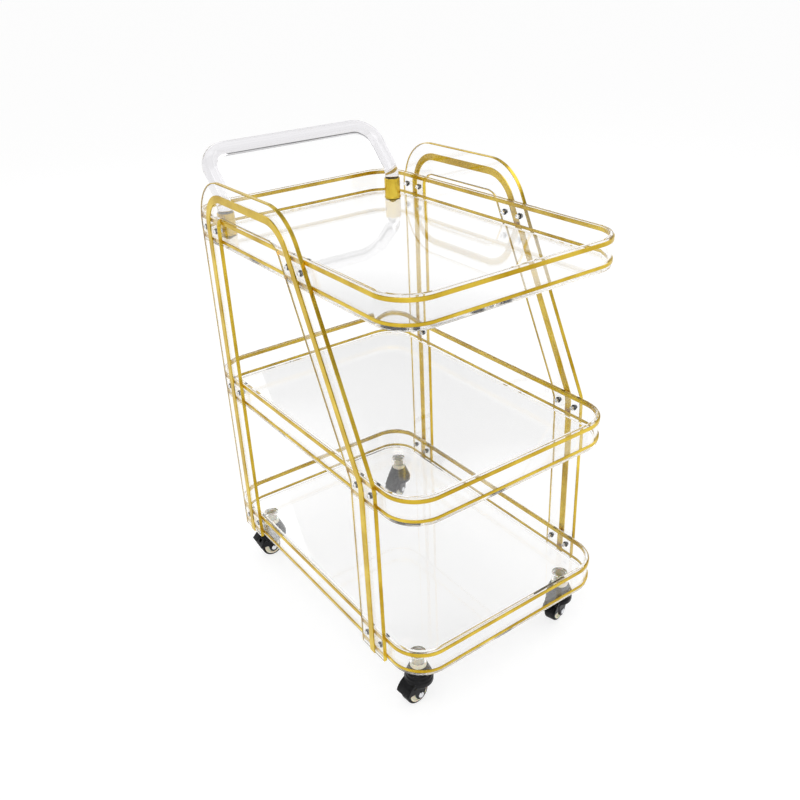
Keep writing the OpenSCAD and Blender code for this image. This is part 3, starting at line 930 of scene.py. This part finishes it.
@dataclass
class Caster:
    """One caster: clear boss, nylon socket, steel stem, black fork, wheel and brake pedal.

    Attributes:
        corner: Where it stands.
        trail: From the stem back to the axle.
        wheel: Radius of the tyre.
        hub: Radius of the wheel body, inside the tyre.
        tyre_half: Half the tyre's width.
        ear: From the wheel's middle plane to the outside of a fork leg.
        pin: Radius of the axle.
        cap: Radius of the axle's caps.
        socket: Radius of the bush in the boss.
        flange: Radius of the bush's flange.
        stem_run: Radius of the stem.
    """

    corner: Corner
    trail: float = 10 * MM
    wheel: float = 21 * MM
    hub: float = 16.6 * MM
    tyre_half: float = 10 * MM
    ear: float = 15.6 * MM
    pin: float = 3 * MM
    cap: float = 5 * MM
    socket: float = 10 * MM
    flange: float = 13.5 * MM
    stem_run: float = 3.95 * MM

    def node(self, part: str) -> str:
        """Name of one of the caster's frame nodes."""
        return f"{self.corner.label}_{part}"

    def stem_place(self, z: float) -> Matrix:
        """On the stem's axis at a height."""
        low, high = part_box(self.node("boss"))
        return Matrix.Translation(((low.x + high.x) / 2, (low.y + high.y) / 2, z))

    def axle_place(self) -> Matrix:
        """At the wheel's centre, with Z along the axle."""
        turn = Matrix.Rotation(self.corner.turn, 4, "Z")
        upright = Matrix.Rotation(math.radians(-90), 4, "X")
        return self.stem_place(0.0) @ turn @ Matrix.Translation((-self.trail, 0, self.wheel)) @ upright

    def boss_ring(self) -> bpy.types.Object:
        """The clear ring under the bottom plate."""
        low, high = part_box(self.node("boss"))
        r, rise = (high.x - low.x) / 2, high.z - low.z - 0.04 * MM
        bore, depth, ease = self.socket + 0.03 * MM, 10.95 * MM, 0.6 * MM
        outline = [(bore, 0), (r - ease, 0), (r, ease), (r, rise - ease), (r - ease, rise), (0, rise),
                   (0, depth), (bore, depth), (bore, 0)]
        return Form().lathe(outline, 72, self.stem_place(low.z)).piece(self.node("clear_boss"))

    def bush(self) -> bpy.types.Object:
        """The cream bush with its flange."""
        low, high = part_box(self.node("socket"))
        r, shoulder, body = self.flange, 10 * MM, self.socket
        rise, ease, bore = high.z - low.z, 0.6 * MM, self.stem_run + 0.1 * MM
        outline = [(bore, 0.5 * MM), (4.6 * MM, 0), (r - ease, 0), (r, ease), (r, shoulder - 1.4 * MM),
                   (r - 1.2 * MM, shoulder - 0.04 * MM), (body, shoulder - 0.04 * MM), (body, rise - ease),
                   (body - ease, rise - 0.1 * MM), (0, rise - 0.1 * MM), (0, rise - 2 * MM),
                   (bore, rise - 2 * MM), (bore, 0.5 * MM)]
        return Form().lathe(outline, 72, self.stem_place(low.z)).piece(self.node("nylon_socket"))

    def stem(self) -> bpy.types.Object:
        """The steel stem with its head."""
        low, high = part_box(self.node("stem"))
        rise, head = high.z - low.z, 2.5 * MM
        outline = [(0, 0), (6.6 * MM, 0), (7 * MM, 0.4 * MM), (7 * MM, head - 0.3 * MM), (6.7 * MM, head),
                   (self.stem_run, head), (self.stem_run, rise - 0.5 * MM), (3.5 * MM, rise), (0, rise)]
        return Form().lathe(outline, 48, self.stem_place(low.z)).piece(self.node("steel_stem"))

    def tyre(self) -> bpy.types.Object:
        """The tyre with round shoulders and a fine moulding line round its tread."""
        r, w, bore, round_r = self.wheel, self.tyre_half, self.hub + 0.04 * MM, 3 * MM
        arc = [(round_r * math.sin(a), round_r * math.cos(a))
               for a in (math.radians(d) for d in range(0, 91, 10))]
        right = [(r - round_r + y, w - round_r + x) for y, x in arc]
        tread = [(r, 0.5 * MM), (r - 0.12 * MM, 0.25 * MM), (r - 0.12 * MM, -0.25 * MM), (r, -0.5 * MM)]
        left = [(y, -x) for y, x in right[::-1]]
        outline = [(bore, w - 0.5 * MM), (bore + 0.5 * MM, w), *right, *tread, *left,
                   (bore + 0.5 * MM, -w), (bore, -w + 0.5 * MM)]
        return Form().lathe(outline, 128, self.axle_place()).piece(self.node("rubber_tyre"), crease=50.0)

    def hub_body(self) -> bpy.types.Object:
        """The cream wheel body: rim, dished web and hub on both sides."""
        half, r, bore = self.tyre_half + 0.5 * MM, self.hub, 3.05 * MM
        face = [(bore, half), (5.2 * MM, half), (5.5 * MM, half - 0.3 * MM), (6.2 * MM, half - 1.9 * MM),
                (7 * MM, half - 2 * MM), (r - 3.6 * MM, half - 2 * MM), (r - 2.9 * MM, half - 1.7 * MM),
                (r - 2.6 * MM, half - 0.3 * MM), (r - 2.3 * MM, half), (r - 0.3 * MM, half),
                (r, half - 0.3 * MM)]
        outline = face + [(a, -b) for a, b in face[::-1]]
        return Form().lathe(outline, 128, self.axle_place()).piece(self.node("nylon_wheel"), crease=30.0)

    def axle(self) -> bpy.types.Object:
        """The axle with a domed cap and a thin washer at each end."""
        form = Form()
        half, cap, rise = self.ear, self.cap, 3 * MM
        dome = [(cap * math.cos(a), 0.8 * MM + (rise - 0.8 * MM) * math.sin(a))
                for a in (math.radians(d) for d in (0, 20, 40, 58, 75))]
        end = [(self.pin, 0), (cap, 0), (cap, 0.45 * MM), (cap - 0.5 * MM, 0.5 * MM),
               (cap - 0.5 * MM, 0.75 * MM), *dome, (0, rise)]
        mirrored = [(a, -half - b) for a, b in end[::-1]]
        outline = mirrored + [(a, half + b) for a, b in end]
        form.lathe(outline, 48, self.axle_place())
        return form.piece(self.node("chrome_axle"), crease=40.0)

    def build(self) -> None:
        """Build the caster and fix its pieces to the chassis, fork, wheel and pedal."""
        fork, wheel = f"{self.corner.label}_fork", f"{self.corner.label}_wheel"
        settle(SHEET.dress(self.boss_ring()), "chassis", self.node("boss"))
        settle(NYLON.dress(self.bush()), "chassis", self.node("socket"))
        settle(STEEL.dress(self.stem()), "chassis", self.node("stem"))
        hood = moulded_copy(self.node("hood"), self.node("moulded_fork"), 0.6 * MM, 3)
        settle(BLACK.dress(hood), fork, self.node("hood"))
        settle(CHROME.dress(self.axle()), fork, self.node("axle"))
        settle(RUBBER.dress(self.tyre()), wheel, self.node("tyre"))
        settle(NYLON.dress(self.hub_body()), wheel, self.node("hub"))
        if self.node("brake_pedal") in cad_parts:
            pedal = moulded_copy(self.node("brake_pedal"), self.node("moulded_pedal"), 0.4 * MM, 3)
            settle(BLACK.dress(pedal), f"{self.corner.label}_pedal", self.node("brake_pedal"))


# --- studio ---


@dataclass
class Studio:
    """Pale floor, soft light and the camera.

    Attributes:
        stand: Where the camera stands.
        yaw: Camera heading from +Y towards +X, in degrees.
        pitch: How far the camera looks down, in degrees.
        roll: Turn of the camera about its own axis, in degrees.
        lens: Focal length in millimetres on a 36 mm sensor.
        screens: Brightness of the surroundings in reflections, as steps of (height, brightness).
    """

    stand: tuple[float, float, float] = (-0.7359, -1.0768, 1.0794)
    yaw: float = 34.5585
    pitch: float = 27.829
    roll: float = -2.617
    lens: float = 38.246
    screens: tuple[Pair, ...] = (
        (0.0, 1.0), (0.3, 1.0), (0.34, 0.15), (0.43, 0.25), (0.47, 0.95), (0.64, 0.85), (0.7, 0.3),
        (0.8, 0.35), (0.86, 0.9),
    )

    def camera(self) -> None:
        """Set up the camera."""
        yaw, pitch, roll = (math.radians(a) for a in (self.yaw, self.pitch, self.roll))
        ahead = Vector((math.sin(yaw) * math.cos(pitch), math.cos(yaw) * math.cos(pitch), -math.sin(pitch)))
        across = Vector((math.cos(yaw), -math.sin(yaw), 0))
        above = across.cross(ahead)
        right = math.cos(roll) * across + math.sin(roll) * above
        up = math.cos(roll) * above - math.sin(roll) * across
        data = bpy.data.cameras.new("camera")
        data.lens, data.sensor_width = self.lens, 36.0
        data.clip_start, data.clip_end = 0.05, 50.0
        cam = bpy.data.objects.new("camera", data)
        turn = Matrix((right, up, -ahead)).transposed().to_4x4()
        cam.matrix_world = Matrix.Translation(self.stand) @ turn
        bpy.context.scene.collection.objects.link(cam)
        bpy.context.scene.camera = cam

    def floor(self) -> None:
        """A wide pale floor."""
        reach = 60.0
        corners = ((-reach, -reach), (reach, -reach), (reach, reach), (-reach, reach))
        form = Form()
        form.points = [Vector((x, y, 0)) for x, y in corners]
        form.faces = [(0, 1, 2, 3)]
        obj = form.piece("floor")
        bench = NodeBench("studio_floor")
        bench.set(Roughness=0.8, Base_Color=(0.32, 0.32, 0.32, 1.0), Specular_IOR_Level=0.0)
        bench.set(Emission_Color=(1.0, 1.0, 1.0, 1.0), Emission_Strength=0.755)
        obj.data.materials.append(bench.material)

    def softbox(self, name: str, place: Sequence[float], size: float, power: float) -> None:
        """A square area light aimed at the cart's middle."""
        data = bpy.data.lights.new(name, "AREA")
        data.size, data.energy = size, power
        lamp = bpy.data.objects.new(name, data)
        lamp.location = place
        aim = Vector((0, 0, 0.4)) - Vector(place)
        lamp.rotation_euler = aim.to_track_quat("-Z", "Y").to_euler()
        bpy.context.scene.collection.objects.link(lamp)

    def light(self) -> None:
        """Surroundings with dark screens high up, for reflections only, and three soft lights."""
        world = bpy.data.worlds.new("studio")
        world.use_nodes = True
        nodes, links = world.node_tree.nodes, world.node_tree.links
        sky = nodes["Background"]
        sky.inputs["Strength"].default_value = 1.0
        around = nodes.new("ShaderNodeTexCoord")
        split = nodes.new("ShaderNodeSeparateXYZ")
        ramp = nodes.new("ShaderNodeValToRGB")
        links.new(around.outputs["Generated"], split.inputs["Vector"])
        # The screens' edges wander a little, and only reflections see them
        drift = nodes.new("ShaderNodeTexNoise")
        drift.inputs["Scale"].default_value, drift.inputs["Detail"].default_value = 2.4, 1.0
        links.new(around.outputs["Generated"], drift.inputs["Vector"])
        sway = nodes.new("ShaderNodeMapRange")
        sway.inputs["From Min"].default_value, sway.inputs["From Max"].default_value = 0.3, 0.7
        sway.inputs["To Min"].default_value, sway.inputs["To Max"].default_value = 0.8, 1.1
        links.new(drift.outputs["Fac"], sway.inputs["Value"])
        height = nodes.new("ShaderNodeMath")
        height.operation = "MULTIPLY"
        links.new(split.outputs["Z"], height.inputs[0])
        links.new(sway.outputs["Result"], height.inputs[1])
        links.new(height.outputs["Value"], ramp.inputs["Fac"])
        seen = nodes.new("ShaderNodeLightPath")
        plain = nodes.new("ShaderNodeMix")
        plain.data_type = "RGBA"
        links.new(seen.outputs["Is Camera Ray"], plain.inputs["Factor"])
        links.new(ramp.outputs["Color"], plain.inputs["A"])
        plain.inputs["B"].default_value = (1.0, 1.0, 1.0, 1.0)
        links.new(plain.outputs["Result"], sky.inputs["Color"])
        for _ in self.screens[2:]:
            ramp.color_ramp.elements.new(0.5)
        for element, (place, shade) in zip(ramp.color_ramp.elements, self.screens):
            element.position = place
            element.color = (shade, shade, shade, 1)
        bpy.context.scene.world = world
        self.softbox("key_light", (-1.8, -1.4, 3.0), 2.4, 34)
        self.softbox("fill_light", (2.4, -0.4, 2.4), 1.8, 12)
        self.softbox("rear_light", (0.2, 2.8, 2.6), 2.0, 12)

    def build(self) -> None:
        """Set up the whole studio."""
        self.camera()
        self.floor()
        self.light()
        scene = bpy.context.scene
        scene.view_settings.view_transform = "Standard"
        # Light runs a long way inside the clear sheets before it leaves at an edge
        scene.cycles.max_bounces = 96
        scene.cycles.glossy_bounces = 64
        scene.cycles.transmission_bounces = 64
        scene.cycles.transparent_max_bounces = 32


def main() -> None:
    """Build the cart piece by piece."""
    logging.basicConfig(level=logging.INFO, format="%(message)s")
    Studio().build()
    for tier in Tier:
        Tray(tier).build()
    for side in Side:
        SideFrame(side).build()
    FrameFixings().build()
    PushHandle().build()
    for corner in Corner:
        Caster(corner).build()


if __name__ == "__main__":
    main()
